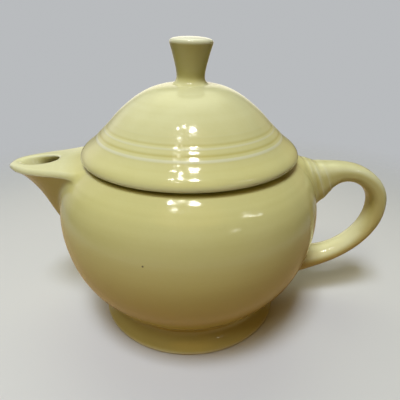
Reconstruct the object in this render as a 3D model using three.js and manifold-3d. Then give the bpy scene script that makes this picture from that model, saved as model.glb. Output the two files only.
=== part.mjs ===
// Small covered teapot in glazed earthenware: a squat round pot on a flared foot ring,
// a short wedge spout with a flat top, a loop handle and a domed lid with a flared knob.
// Millimetres, +Z up, the table at z = 0. The spout points to -X and the handle to +X.
// The pieces are drawn about the pot's turning axis (x = 0), then moved by AXIS_X so that
// the origin is the middle of the whole pot's plan box.

import * as THREE from 'three';
import { mergeVertices } from 'three/addons/utils/BufferGeometryUtils.js';
import { LoftGeometry } from 'three/addons/geometries/LoftGeometry.js';
import Module from 'manifold-3d';

const wasm = await Module();
wasm.setup();

// ---------------------------------------------------------------- driving dimensions
const GAP = 0.3;              // joint line between neighbouring pieces
const SPOUT_TIP_X = -98.6;    // from the turning axis
const HANDLE_OUT_X = 117.3;   // outermost point of the loop, from the turning axis
const AXIS_X = -(SPOUT_TIP_X + HANDLE_OUT_X) / 2;

const WAIST_R = 46.7;         // waist between foot ring and belly
const WAIST_Z = 10.8;
const SPIGOT_R = 43.6;        // short base of the body, inside the foot ring
const BASE_Z = 4.5;           // underside of the body
const FLOOR_Z = 10.0;         // inner floor
const BELLY_R = 72.5;         // widest radius
const MOUTH_R = 50.0;         // mouth bore inside the lid seat
const SEAT_Z = 96.7;          // lid seat on the pot

const FOOT_R = 53.6;          // widest radius of the foot ring
const FOOT_REST_R = { inner: 49.8, outer: 52.6 };  // flat contact face

const LID_REST_Z = 97.05;     // underside of the lid
const LID_R = 58.4;           // rim of the lid
const LID_SHIFT_X = 0.5;      // the loose lid rests this far towards the handle
const LID_TOP_Z = 134.4;      // knob seat on top of the dome
const FLANGE_R = { inner: 46.0, outer: 48.9 };     // locating skirt under the lid
const FLANGE_BOTTOM_Z = 89.8;

const KNOB_FOOT_R = 8.5;
const KNOB_RIM_R = 11.0;
const KNOB_TOP_Z = 156.4;     // top of the knob before it is lifted and leaned
const KNOB_SET_X = 0.6;       // the knob stands this far off the lid's axis
const KNOB_LEAN = THREE.MathUtils.degToRad(1.5);   // towards the handle

// ---------------------------------------------------------------- finishes
const FINISHES = {
  glaze: { color: 0xcfc98a, roughness: 0.16 },
  litGlaze: { color: 0xdcd79a, roughness: 0.16 },
  footGlaze: { color: 0xc9c083, roughness: 0.3 },
  lidGlaze: { color: 0xcfc98a, roughness: 0.14 },
  flangeGlaze: { color: 0xcdc68a, roughness: 0.2 },
};

// ---------------------------------------------------------------- helpers
// A manifold solid from a closed geometry, turned right side out.
function solid(geometry) {
  const bare = new THREE.BufferGeometry().copy(geometry);
  bare.deleteAttribute('normal');
  bare.deleteAttribute('uv');
  const merged = mergeVertices(bare, 1e-4);
  const index = merged.index.array;
  const triangles = [];
  for (let i = 0; i < index.length; i += 3) {
    const [a, b, c] = [index[i], index[i + 1], index[i + 2]];
    if (a !== b && b !== c && a !== c) triangles.push(a, b, c);
  }
  const make = () => new wasm.Manifold(new wasm.Mesh({
    numProp: 3,
    vertProperties: new Float32Array(merged.attributes.position.array),
    triVerts: new Uint32Array(triangles),
  }));
  const result = make();
  if (result.volume() >= 0) return result;
  for (let i = 0; i < triangles.length; i += 3) {
    [triangles[i + 1], triangles[i + 2]] = [triangles[i + 2], triangles[i + 1]];
  }
  return make();
}

function geometryOf(shape) {
  const { vertProperties, triVerts } = shape.getMesh();
  const geometry = new THREE.BufferGeometry();
  geometry.setAttribute('position', new THREE.BufferAttribute(new Float32Array(vertProperties), 3));
  geometry.setIndex(new THREE.BufferAttribute(new Uint32Array(triVerts), 1));
  geometry.computeVertexNormals();
  return geometry;
}

// A turned solid from [radius, z] pairs, about +Z.
function turned(profile, facets = 48) {
  const points = profile.map(([radius, z]) => new THREE.Vector2(radius, z));
  return solid(new THREE.LatheGeometry(points, facets).rotateX(Math.PI / 2));
}

// An outside profile, running upwards, moved outwards along its own normals.
function grown(profile, distance) {
  return profile.map(([radius, z], i) => {
    const before = profile[Math.max(i - 1, 0)];
    const after = profile[Math.min(i + 1, profile.length - 1)];
    const tangent = new THREE.Vector2(after[0] - before[0], after[1] - before[1]).normalize();
    return [radius + tangent.y * distance, z - tangent.x * distance];
  });
}

// A cylinder to cut a hole with, along Y until it is rotated.
const drill = (radius, length) => new THREE.CylinderGeometry(radius, radius, length, 12);

// A solid skinned over closed cross sections, each ordered to face along the loft.
function lofted(sections) {
  const centre = (section) => section
    .reduce((sum, point) => sum.add(point), new THREE.Vector3())
    .divideScalar(section.length);
  const k = Math.floor(sections.length / 2);
  const section = sections[k];
  const normal = new THREE.Vector3();
  section.forEach((point, i) => {
    normal.add(new THREE.Vector3().crossVectors(point, section[(i + 1) % section.length]));
  });
  const onward = centre(sections[k + 1]).sub(centre(sections[k - 1]));
  const facing = normal.dot(onward) > 0;
  const rows = facing ? sections : sections.map((row) => row.slice().reverse());
  return solid(new LoftGeometry(rows, { capStart: true, capEnd: true }));
}

// Smooth value of a table [[x, y], ...] at x: cubic pieces with Catmull-Rom slopes.
function along(table, x) {
  let i = 0;
  while (i < table.length - 2 && x > table[i + 1][0]) i++;
  const [x0, y0] = table[i];
  const [x1, y1] = table[i + 1];
  const span = x1 - x0;
  const rise = (k) => {
    const before = table[Math.max(k - 1, 0)];
    const after = table[Math.min(k + 1, table.length - 1)];
    return (after[1] - before[1]) / (after[0] - before[0]) * span;
  };
  const t = (x - x0) / span;
  const t2 = t * t;
  const t3 = t2 * t;
  return (2 * t3 - 3 * t2 + 1) * y0 + (t3 - 2 * t2 + t) * rise(i)
    + (-2 * t3 + 3 * t2) * y1 + (t3 - t2) * rise(i + 1);
}

// The biggest of the separate bodies that a cut leaves.
const largest = (shape) => shape.decompose().sort((a, b) => b.volume() - a.volume())[0];

// ---------------------------------------------------------------- pot body
// Outside of the pot, from the waist up: radius, z.
const BELLY = [
  [WAIST_R, WAIST_Z], [47.9, 13.0], [50.4, 15.3], [53.4, 18.0], [58.7, 24.0], [63.5, 31.0],
  [68.0, 40.0], [70.9, 50.0], [72.3, 59.0], [BELLY_R, 66.0], [72.1, 72.0], [70.8, 78.0],
  [68.5, 84.0], [65.9, 88.0], [62.6, 91.5], [59.4, 94.3], [57.6, 95.6], [56.2, 96.3],
];
// Inside of the pot, from under the mouth down to the floor: radius, z.
const INSIDE = [
  [52.6, 91.2], [58.0, 88.9], [62.6, 85.0], [66.0, 78.5], [67.7, 71.0], [68.0, 64.0],
  [67.2, 54.0], [64.6, 43.5], [60.2, 33.0], [54.8, 25.0], [49.0, 18.8], [43.0, 14.4],
  [36.0, 11.2], [24.0, FLOOR_Z],
];
// Pouring holes through the wall behind the spout, one in the middle and six round it: y, z.
const STRAINER = [
  [0, 78], [0, 84.5], [0, 71.5], [5.6, 81.2], [-5.6, 81.2], [5.6, 74.8], [-5.6, 74.8],
];
const STRAINER_HOLE = { radius: 2.1, length: 24, x: -68 };

function makeBody() {
  const chamfer = 0.6;
  let body = turned([
    [0, BASE_Z], [SPIGOT_R - chamfer, BASE_Z], [SPIGOT_R, BASE_Z + chamfer], [SPIGOT_R, WAIST_Z],
    ...BELLY,
    [54.6, SEAT_Z - 0.1], [51.2, SEAT_Z], [50.3, SEAT_Z - 0.4],
    [MOUTH_R, SEAT_Z - 1.1], [MOUTH_R, 92.4],
    ...INSIDE, [0, FLOOR_Z],
  ]);
  const { radius, length, x } = STRAINER_HOLE;
  for (const [y, z] of STRAINER) {
    body = body.subtract(solid(drill(radius, length).rotateZ(Math.PI / 2).translate(x, y, z)));
  }
  return body;
}

// The filled pot grown by the joint line: the spout and the handle are cut back to it.
function makeSkin() {
  const inset = 2;
  return turned([
    [0, WAIST_Z - inset], [WAIST_R - inset, WAIST_Z - inset], ...grown(BELLY, GAP),
    [55.4, SEAT_Z + GAP], [0, SEAT_Z + GAP],
  ]);
}

// ---------------------------------------------------------------- foot ring
function makeFoot() {
  const topZ = WAIST_Z - GAP;
  const boreR = SPIGOT_R + GAP;
  return turned([
    [FOOT_REST_R.inner, 0], [FOOT_REST_R.outer, 0], [FOOT_R - 0.2, 0.5], [FOOT_R, 1.3],
    [FOOT_R - 0.3, 2.2], [52.2, 3.3], [50.2, 5.0], [48.5, 7.0], [47.3, 9.0], [WAIST_R, topZ],
    [boreR, topZ], [boreR, 4.9], [45.4, 3.6], [48.0, 1.4], [49.0, 0.4], [FOOT_REST_R.inner, 0],
  ]);
}

// ---------------------------------------------------------------- spout
// Tables from the tip to inside the pot wall: x, then half width, top z or keel z.
const SPOUT_HALF_WIDTH = [
  [SPOUT_TIP_X, 1.2], [-98, 3.6], [-97, 5.4], [-95, 7.9], [-92, 10.6], [-89, 12.6],
  [-85, 14.7], [-80, 16.8], [-74, 18.9], [-68, 21.2], [-62, 24.2], [-56, 28.0],
];
const SPOUT_TOP = [
  [SPOUT_TIP_X, 92.4], [-98, 92.9], [-96, 93.3], [-92, 93.5], [-84, 93.8], [-74, 94.1],
  [-62, 94.5], [-56, 94.6],
];
const SPOUT_KEEL = [
  [SPOUT_TIP_X, 91.2], [-98, 90.3], [-96, 88.9], [-91.6, 85.2], [-87.7, 81.0], [-84.4, 76.4],
  [-81.0, 69.6], [-78.2, 62.5], [-74.5, 54.6], [-70.5, 49.2], [-62, 46.0], [-56, 45.0],
];
const SPOUT_XS = [
  SPOUT_TIP_X, -98.1, -96.8, -94.8, -92, -89, -86, -82.5, -79, -76, -73, -70, -66, -61, -56,
];
const TOP_CROWN = 0.04;       // rise of the top's middle, per half width
const TOP_CORNER = { maxR: 3.2, perHalfWidth: 0.6, perDepth: 0.4, angles: [90, 60, 30] };
// Flank from corner to keel: power of its taper, how far it bows in, and the steps down it.
const FLANK = { power: 0.92, hollow: 0.12, steps: [0, 0.22, 0.45, 0.68, 0.86] };
// Keel radius, and the flank's end half width and the last point's place as shares of it.
const KEEL = { maxR: 3.5, perHalfWidth: 0.45, endWidth: 0.8, lastWidth: 0.62, lastRise: 0.22 };

// Sections of the channel: x, middle z, half width, half height, lean (x towards +X per z).
const CHANNEL = [
  [-96.2, 96.4, 1.6, 3.2, 0.0],
  [-93.6, 95.6, 4.0, 4.0, 0.12],
  [-89.6, 94.4, 5.8, 5.6, 0.28],
  [-84.6, 92.2, 7.4, 7.2, 0.4],
  [-79.0, 87.8, 8.6, 8.4, 0.42],
  [-74.0, 82.6, 9.6, 9.8, 0.25],
  [-69.0, 79.0, 10.2, 10.8, 0],
  [-62.0, 77.5, 10.4, 11.0, 0],
];
const CHANNEL_POINTS = 18;

// An upright section across the spout: flat top, rounded corners, flanks narrowing to a keel.
function spoutSection(x) {
  const top = along(SPOUT_TOP, x);
  const keel = along(SPOUT_KEEL, x);
  const halfWidth = along(SPOUT_HALF_WIDTH, x);
  const depth = top - keel;
  const cornerR = Math.min(
    TOP_CORNER.maxR, halfWidth * TOP_CORNER.perHalfWidth, depth * TOP_CORNER.perDepth,
  );
  const keelR = Math.min(KEEL.maxR, halfWidth * KEEL.perHalfWidth);
  const flankEnd = keelR * KEEL.endWidth;

  const side = [];
  for (const degrees of TOP_CORNER.angles) {
    const angle = THREE.MathUtils.degToRad(degrees);
    side.push([
      halfWidth - cornerR + cornerR * Math.cos(angle),
      top - cornerR + cornerR * Math.sin(angle),
    ]);
  }
  for (const step of FLANK.steps) {
    const taper = (1 - step) ** FLANK.power * (1 - FLANK.hollow * Math.sin(Math.PI * step));
    side.push([
      flankEnd + (halfWidth - flankEnd) * taper,
      top - cornerR - (depth - cornerR) * step,
    ]);
  }
  side.push([keelR * KEEL.lastWidth, keel + keelR * KEEL.lastRise]);
  return [
    new THREE.Vector3(x, 0, top + TOP_CROWN * halfWidth),
    ...side.map(([y, z]) => new THREE.Vector3(x, y, z)),
    new THREE.Vector3(x, 0, keel),
    ...side.slice().reverse().map(([y, z]) => new THREE.Vector3(x, -y, z)),
  ];
}

// A boat-shaped mouth in the flat top that runs down and back to the pouring holes.
function makeChannel() {
  return lofted(CHANNEL.map(([x, z, halfWidth, halfHeight, lean]) => (
    Array.from({ length: CHANNEL_POINTS }, (_, k) => {
      const angle = (k / CHANNEL_POINTS) * 2 * Math.PI;
      const dz = halfHeight * Math.sin(angle);
      return new THREE.Vector3(x + lean * dz, halfWidth * Math.cos(angle), z + dz);
    })
  )));
}

function makeSpout(skin) {
  return largest(lofted(SPOUT_XS.map(spoutSection)).subtract(makeChannel()).subtract(skin));
}

// ---------------------------------------------------------------- handle
// Stations from the upper root round the loop to the lower root:
// x and z of the middle, half thickness in the loop's plane, half width across it.
const HANDLE = [
  [60.0, 78.4, 16.6, 13.8], [66.0, 78.9, 15.2, 12.3], [70.0, 79.9, 13.8, 10.9],
  [74.0, 81.2, 11.6, 9.6], [79.0, 83.4, 8.5, 8.3], [85.5, 85.2, 6.0, 7.4],
  [93.0, 85.2, 4.9, 7.1], [100.3, 82.7, 4.9, 7.0], [107.0, 77.5, 5.0, 7.0],
  [111.1, 71.0, 5.0, 7.0], [HANDLE_OUT_X - 5.0, 63.6, 5.0, 7.0], [111.1, 54.6, 5.2, 7.0],
  [106.7, 45.9, 5.2, 7.0], [99.8, 38.4, 5.1, 7.1], [91.0, 32.5, 5.3, 7.4],
  [82.0, 29.0, 6.0, 8.1], [73.5, 27.3, 7.1, 9.3], [66.0, 26.3, 8.5, 10.8],
  [56.0, 25.3, 10.3, 12.6],
];
const HANDLE_STEPS = 46;
const HANDLE_POINTS = 20;     // points round a section
const HANDLE_POWER = 2.3;     // superellipse exponent of the section; 2 is an ellipse
// Shallow rings round the flared upper root; places and width are in stations.
const ROOT_RINGS = { at: [2.1, 3.0, 3.9], height: 0.45, width: 0.22 };

// Cosine or sine reshaped for the superellipse.
const squared = (value) => Math.sign(value) * Math.abs(value) ** (2 / HANDLE_POWER);

function handleSection(path, fraction) {
  const station = fraction * (HANDLE.length - 1);
  const middle = path.getPoint(fraction);
  const tangent = path.getTangent(fraction);
  const outward = new THREE.Vector3(-tangent.z, 0, tangent.x);
  const size = (column) => along(HANDLE.map((row, k) => [k, row[column]]), station);
  let thickness = size(2);
  let width = size(3);
  for (const ring of ROOT_RINGS.at) {
    const bump = ROOT_RINGS.height * Math.exp(-(((station - ring) / ROOT_RINGS.width) ** 2));
    thickness += bump;
    width += bump;
  }
  return Array.from({ length: HANDLE_POINTS }, (_, k) => {
    const angle = (k / HANDLE_POINTS) * 2 * Math.PI;
    return middle.clone()
      .addScaledVector(outward, thickness * squared(Math.cos(angle)))
      .add(new THREE.Vector3(0, width * squared(Math.sin(angle)), 0));
  });
}

function makeHandle(skin) {
  const middles = HANDLE.map(([x, z]) => new THREE.Vector3(x, 0, z));
  const path = new THREE.CatmullRomCurve3(middles, false, 'centripetal');
  const sections = Array.from({ length: HANDLE_STEPS + 1 }, (_, i) => (
    handleSection(path, i / HANDLE_STEPS)
  ));
  return largest(lofted(sections).subtract(skin));
}

// ---------------------------------------------------------------- lid
// From the knob seat down the outside, across the underside and up the inside: radius, z.
const LID = [
  [0, LID_TOP_Z], [9.2, LID_TOP_Z], [14.0, 133.8], [19.9, 132.2], [24.8, 130.0],
  [29.6, 127.0], [34.6, 123.0], [38.6, 119.3], [39.6, 118.6], [41.2, 116.9], [42.0, 115.8],
  [43.2, 115.0], [45.2, 112.9], [46.2, 111.4], [48.0, 110.1], [52.2, 106.0], [55.8, 102.8],
  [57.7, 101.2], [LID_R, 99.9], [58.0, 98.9], [56.7, 98.3], [54.5, 97.6], [52.5, LID_REST_Z],
  [45.6, LID_REST_Z], [46.0, 99.6], [46.0, 102.4], [43.0, 107.2], [39.0, 111.4],
  [35.2, 115.2], [31.0, 118.9], [26.6, 122.4], [21.5, 125.8], [15.0, 128.4], [8.0, 129.8],
  [0, 130.2],
];
// Upright air hole through the +Y side of the dome.
const VENT = { radius: 1.5, length: 30, y: 27.5, z: 126 };

function makeLid() {
  const vent = drill(VENT.radius, VENT.length).rotateX(Math.PI / 2).translate(0, VENT.y, VENT.z);
  return turned(LID).subtract(solid(vent));
}

function makeFlange() {
  const { inner, outer } = FLANGE_R;
  const topZ = LID_REST_Z - GAP;
  return turned([
    [inner + 0.2, topZ], [inner, FLANGE_BOTTOM_Z + 1.0], [inner + 0.6, FLANGE_BOTTOM_Z + 0.1],
    [inner + 1.6, FLANGE_BOTTOM_Z], [outer - 0.5, FLANGE_BOTTOM_Z + 0.7],
    [outer, FLANGE_BOTTOM_Z + 2.2], [outer, topZ], [inner + 0.2, topZ],
  ]);
}

// ---------------------------------------------------------------- knob
const KNOB_Z = LID_TOP_Z + GAP;
const KNOB_LIFT = KNOB_FOOT_R * Math.sin(KNOB_LEAN);  // keeps the leaning foot off the dome

// Turned about its own foot at z = 0.
function makeKnob() {
  return turned([
    [0, 0], [KNOB_FOOT_R, 0], [8.2, 0.5], [7.6, 1.3], [7.3, 2.7], [7.4, 4.9], [7.9, 7.7],
    [8.8, 11.2], [9.8, 15.0], [10.6, 17.5], [KNOB_RIM_R, 18.7], [KNOB_RIM_R - 0.1, 19.5],
    [10.3, 20.3], [7.8, 21.1], [4.0, 21.6], [0, KNOB_TOP_Z - KNOB_Z],
  ], 36);
}

// ---------------------------------------------------------------- assembly
function piece(name, shape, finish) {
  const material = new THREE.MeshStandardMaterial({ ...finish, metalness: 0 });
  const mesh = new THREE.Mesh(geometryOf(shape), material);
  mesh.name = name;
  return mesh;
}

function group(name, ...children) {
  const result = new THREE.Group().add(...children);
  result.name = name;
  return result;
}

const skin = makeSkin();
const pot = group(
  'pot',
  piece('pot_body', makeBody(), FINISHES.glaze),
  piece('foot_ring', makeFoot(), FINISHES.footGlaze),
  piece('spout', makeSpout(skin), FINISHES.litGlaze),
  piece('handle', makeHandle(skin), FINISHES.litGlaze),
);

const knob = piece('lid_knob', makeKnob(), FINISHES.lidGlaze);
knob.position.set(KNOB_SET_X, 0, KNOB_Z + KNOB_LIFT);
knob.rotation.y = KNOB_LEAN;

const lid = group(
  'lid',
  piece('lid_dome', makeLid(), FINISHES.lidGlaze),
  piece('lid_flange', makeFlange(), FINISHES.flangeGlaze),
  knob,
);
lid.position.x = LID_SHIFT_X;

const onAxis = group('', pot, lid);
onAxis.position.x = AXIS_X;

export default group('teapot', onAxis);
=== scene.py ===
import math

import bpy
import numpy as np
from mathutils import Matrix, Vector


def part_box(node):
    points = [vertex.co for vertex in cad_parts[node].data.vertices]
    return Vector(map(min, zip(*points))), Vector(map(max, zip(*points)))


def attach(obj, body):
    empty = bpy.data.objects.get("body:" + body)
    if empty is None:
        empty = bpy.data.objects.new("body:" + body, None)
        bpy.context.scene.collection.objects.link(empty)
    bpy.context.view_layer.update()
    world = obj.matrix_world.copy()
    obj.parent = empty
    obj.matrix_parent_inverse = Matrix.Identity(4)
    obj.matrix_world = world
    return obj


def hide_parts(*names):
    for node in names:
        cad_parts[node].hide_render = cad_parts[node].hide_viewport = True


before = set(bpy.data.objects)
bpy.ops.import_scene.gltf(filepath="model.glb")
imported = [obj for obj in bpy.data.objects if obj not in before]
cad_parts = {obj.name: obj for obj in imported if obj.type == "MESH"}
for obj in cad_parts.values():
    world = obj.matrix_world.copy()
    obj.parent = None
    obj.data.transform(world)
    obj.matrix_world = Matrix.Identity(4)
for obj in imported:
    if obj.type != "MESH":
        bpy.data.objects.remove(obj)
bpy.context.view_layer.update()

# ---------------------------------------------------------------- where things stand
# Shape tables are in millimetres about the pot's turning axis; the CAD boxes say where that axis stands.
foot_lo, foot_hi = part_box("foot_ring")
AXIS = np.array([(foot_lo.x + foot_hi.x) / 2, (foot_lo.y + foot_hi.y) / 2, foot_lo.z]) * 1000
dome_lo, dome_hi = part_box("lid_dome")
LID_X = (dome_lo.x + dome_hi.x) / 2 * 1000 - AXIS[0]
knob_lo, knob_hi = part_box("lid_knob")

LATHE_STEPS = 224

# ---------------------------------------------------------------- curves


def spline(points, step=0.2, closed=False):
    """Centripetal Catmull-Rom curve through the points, cut into even steps."""
    p = np.asarray(points, float)
    if closed:
        e = np.vstack([p[-1:], p, p[:2]])
    else:
        e = np.vstack([2 * p[:1] - p[1:2], p, 2 * p[-1:] - p[-2:-1]])
    out = []
    for i in range(1, len(e) - 2):
        p0, p1, p2, p3 = e[i - 1], e[i], e[i + 1], e[i + 2]
        k = [0.0]
        for a, b in ((p0, p1), (p1, p2), (p2, p3)):
            k.append(k[-1] + max(np.linalg.norm(b - a), 1e-6) ** 0.5)
        t = np.linspace(k[1], k[2], 24, endpoint=False)[:, None]
        a1 = (k[1] - t) / (k[1] - k[0]) * p0 + (t - k[0]) / (k[1] - k[0]) * p1
        a2 = (k[2] - t) / (k[2] - k[1]) * p1 + (t - k[1]) / (k[2] - k[1]) * p2
        a3 = (k[3] - t) / (k[3] - k[2]) * p2 + (t - k[2]) / (k[3] - k[2]) * p3
        b1 = (k[2] - t) / (k[2] - k[0]) * a1 + (t - k[0]) / (k[2] - k[0]) * a2
        b2 = (k[3] - t) / (k[3] - k[1]) * a2 + (t - k[1]) / (k[3] - k[1]) * a3
        out.append((k[2] - t) / (k[2] - k[1]) * b1 + (t - k[1]) / (k[2] - k[1]) * b2)
    out.append(p[:1] if closed else p[-1:])
    return even(np.vstack(out), step)


def lengths(p):
    return np.concatenate([[0], np.cumsum(np.linalg.norm(np.diff(p[:, :2], axis=0), axis=1))])


def even(p, step):
    s = lengths(p)
    g = np.linspace(0, s[-1], max(3, int(round(s[-1] / step)) + 1))
    return np.stack([np.interp(g, s, p[:, i]) for i in range(p.shape[1])], 1)


def relax(p, sigma, closed=False):
    """Softens an evenly cut curve over sigma millimetres, a number or one for each point."""
    step = lengths(p)[-1] / (len(p) - 1)
    sigma = np.broadcast_to(np.asarray(sigma, float), (len(p),))
    rounds = max(1, int(math.ceil(sigma.max() ** 2 / (0.8 * step * step))))
    c = (sigma**2 / (2 * rounds * step * step))[:, None]
    q = p.copy()
    for _ in range(rounds):
        if closed:
            core = q[:-1]
            core = core + c[:-1] * (np.roll(core, 1, 0) + np.roll(core, -1, 0) - 2 * core)
            q = np.vstack([core, core[:1]])
        else:
            q[1:-1] += c[1:-1] * (q[2:] + q[:-2] - 2 * q[1:-1])
    return q


def ramp(x, pairs):
    x0, y0 = zip(*pairs)
    return np.interp(x, x0, y0)


def normals2(p):
    """Left-hand normals of a profile that runs counter-clockwise in (radius, height): they point out of the clay."""
    t = np.gradient(p, axis=0)
    t /= np.linalg.norm(t, axis=1)[:, None] + 1e-12
    return np.stack([t[:, 1], -t[:, 0]], 1)


def thin(p, turn=3.0, longest=1.8, closed=False):
    """Keeps the points of a dense profile that its bends need."""
    t = np.diff(p, axis=0)
    ang = np.degrees(np.abs(np.diff(np.unwrap(np.arctan2(t[:, 1], t[:, 0])))))
    ang = np.concatenate([[0], ang, [0]])
    s = lengths(p)
    need = np.cumsum(ang) / turn + s / longest
    count = int(math.ceil(need[-1]))
    want = np.linspace(0, need[-1], count + 1)
    g = np.interp(want, need, s)
    q = np.stack([np.interp(g, s, p[:, i]) for i in range(2)], 1)
    return q


# ---------------------------------------------------------------- meshes


def mesh_object(name, verts, faces, normals=None):
    """verts in millimetres about the turning axis."""
    me = bpy.data.meshes.new(name)
    v = (np.asarray(verts, float) + AXIS) / 1000
    me.from_pydata(v.tolist(), [], faces if isinstance(faces, list) else faces.tolist())
    me.validate()
    me.update()
    me.shade_smooth()
    if normals is not None:
        me.normals_split_custom_set_from_vertices(normals.tolist())
    ob = bpy.data.objects.new(name, me)
    bpy.context.scene.collection.objects.link(ob)
    return ob


def curvature(ob, rounds=1):
    """Keeps each vertex's mean bend (1/mm, convex positive) as the attribute 'bend', which the glaze follows."""
    me = ob.data
    n = len(me.vertices)
    co = np.zeros(n * 3); me.vertices.foreach_get("co", co); co = co.reshape(-1, 3) * 1000
    no = np.zeros(n * 3); me.vertices.foreach_get("normal", no); no = no.reshape(-1, 3)
    e = np.zeros(len(me.edges) * 2, int); me.edges.foreach_get("vertices", e); e = e.reshape(-1, 2)
    d = co[e[:, 1]] - co[e[:, 0]]
    k = ((no[e[:, 1]] - no[e[:, 0]]) * d).sum(1) / np.maximum((d * d).sum(1), 1e-4)
    acc = np.bincount(e[:, 0], k, n) + np.bincount(e[:, 1], k, n)
    cnt = np.bincount(e[:, 0], None, n) + np.bincount(e[:, 1], None, n)
    c = acc / np.maximum(cnt, 1)
    for _ in range(rounds):
        acc = np.bincount(e[:, 0], c[e[:, 1]], n) + np.bincount(e[:, 1], c[e[:, 0]], n)
        c = 0.5 * c + 0.5 * acc / np.maximum(cnt, 1)
    keep_bend(ob, c)


def keep_bend(ob, c):
    at = ob.data.attributes.new("bend", "FLOAT", "POINT")
    at.data.foreach_set("value", np.clip(c, -2, 2).astype(np.float32))


def lathe(name, profile, centre=(0.0, 0.0), steps=LATHE_STEPS, closed=False, place=None):
    """A turned piece. The profile runs counter-clockwise in (radius, height); it starts and ends on the axis unless closed."""
    p = np.asarray(profile, float)
    if closed and np.allclose(p[0], p[-1]):
        p = p[:-1]
    a = np.arange(steps) * 2 * math.pi / steps
    ca, sa = np.cos(a), np.sin(a)
    verts, rows = [], []
    for r, z in p:
        if r < 1e-4:
            rows.append([len(verts)]); verts.append((0, 0, z))
        else:
            start = len(verts)
            verts.extend(zip((r * ca).tolist(), (r * sa).tolist(), [z] * steps))
            rows.append(list(range(start, start + steps)))
    faces = []
    count = len(rows)
    for i in range(count if closed else count - 1):
        lo, hi = rows[i], rows[(i + 1) % count]
        for j in range(steps):
            k = (j + 1) % steps
            if len(lo) == 1 and len(hi) == 1:
                continue
            if len(lo) == 1:
                faces.append((lo[0], hi[k], hi[j]))
            elif len(hi) == 1:
                faces.append((lo[j], lo[k], hi[0]))
            else:
                faces.append((lo[j], lo[k], hi[k], hi[j]))
    v = np.array(verts, float)
    if place is not None:
        v = place(v)
    v[:, 0] += centre[0]
    v[:, 1] += centre[1]
    return mesh_object(name, v, faces)


# ---------------------------------------------------------------- solid fields and their surfaces


def smooth_min(a, b, k):
    h = np.maximum(k - np.abs(a - b), 0) / k
    return np.minimum(a, b) - h**3 * k / 6


def smooth_max(a, b, k):
    return -smooth_min(-a, -b, k)


def sample(field, lo, h, p):
    """Value and slope of a grid field at points p, by cubic convolution, so that both are smooth."""
    q = (p - lo) / h
    i = np.floor(q).astype(int)
    i = np.clip(i, 1, np.array(field.shape) - 3)
    f = q - i

    def weights(t):
        t2, t3 = t * t, t * t * t
        w = [-0.5 * t3 + t2 - 0.5 * t, 1.5 * t3 - 2.5 * t2 + 1, -1.5 * t3 + 2 * t2 + 0.5 * t, 0.5 * t3 - 0.5 * t2]
        g = [-1.5 * t2 + 2 * t - 0.5, 4.5 * t2 - 5 * t, -4.5 * t2 + 4 * t + 0.5, 1.5 * t2 - t]
        return w, g

    wx, gx = weights(f[:, 0]); wy, gy = weights(f[:, 1]); wz, gz = weights(f[:, 2])
    val = np.zeros(len(p)); grad = np.zeros((len(p), 3))
    for a in range(4):
        for b in range(4):
            for c in range(4):
                s = field[i[:, 0] + a - 1, i[:, 1] + b - 1, i[:, 2] + c - 1]
                val += wx[a] * wy[b] * wz[c] * s
                grad[:, 0] += gx[a] * wy[b] * wz[c] * s
                grad[:, 1] += wx[a] * gy[b] * wz[c] * s
                grad[:, 2] += wx[a] * wy[b] * gz[c] * s
    return val, grad / h


def surface(field, skin, lo, h):
    """The zero surface of a grid field: one vertex in each cell that it crosses, drawn onto the surface, and quads between them.
    Normals and bend come from skin, the same field before its hidden ends were cut off."""
    inside = field < 0
    n = np.array(field.shape)
    c = inside.astype(np.int8)
    total = sum(c[a:n[0] - 1 + a, b:n[1] - 1 + b, d:n[2] - 1 + d] for a in (0, 1) for b in (0, 1) for d in (0, 1))
    mixed = (total > 0) & (total < 8)
    index = np.full(mixed.shape, -1)
    cells = np.argwhere(mixed)
    index[mixed] = np.arange(len(cells))
    acc = np.zeros((len(cells), 3)); cnt = np.zeros(len(cells))
    corners = [(a, b, d) for a in (0, 1) for b in (0, 1) for d in (0, 1)]
    for a in corners:
        for axis in range(3):
            if a[axis]:
                continue
            b = list(a); b[axis] = 1
            fa = field[tuple((cells + a).T)]; fb = field[tuple((cells + b).T)]
            m = (fa < 0) != (fb < 0)
            t = np.where(m, fa / np.where(m, fa - fb, 1), 0)
            pt = np.array(a, float) + t[:, None] * (np.array(b) - np.array(a))
            acc[m] += pt[m]; cnt[m] += 1
    verts = lo + (cells + acc / cnt[:, None]) * h
    faces = []
    for axis in range(3):
        u, v = [(1, 2), (2, 0), (0, 1)][axis]
        sl = [slice(1, -1)] * 3
        sl[axis] = slice(0, -1)
        s2 = list(sl); s2[axis] = slice(1, None)
        a, b = inside[tuple(sl)], inside[tuple(s2)]
        at = np.argwhere(a != b)
        up = a[tuple(at.T)]
        at = at + np.array([0 if i == axis else 1 for i in range(3)])
        du, dv = np.zeros(3, int), np.zeros(3, int)
        du[u] = 1; dv[v] = 1
        quad = np.stack([index[tuple((at - du - dv).T)], index[tuple((at - dv).T)], index[tuple(at.T)], index[tuple((at - du).T)]], 1)
        quad[~up] = quad[~up][:, ::-1]
        faces.append(quad)
    start = verts.copy()
    for _ in range(4):
        f, g = sample(field, lo, h, verts)
        step = (f / np.maximum((g * g).sum(1), 0.05))[:, None] * g
        verts = verts - np.clip(step, -0.4 * h, 0.4 * h)
        verts = start + np.clip(verts - start, -0.75 * h, 0.75 * h)
    f, g = sample(skin, lo, h, verts)
    g /= np.linalg.norm(g, axis=1)[:, None] + 1e-12
    slope = np.gradient(skin, h)
    size = np.sqrt(sum(c * c for c in slope)) + 1e-9
    div = sum(np.gradient(c / size, h, axis=k) for k, c in enumerate(slope))
    bend, _ = sample(0.5 * div, lo, h, verts)
    return verts, np.vstack(faces), g, bend


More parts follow.
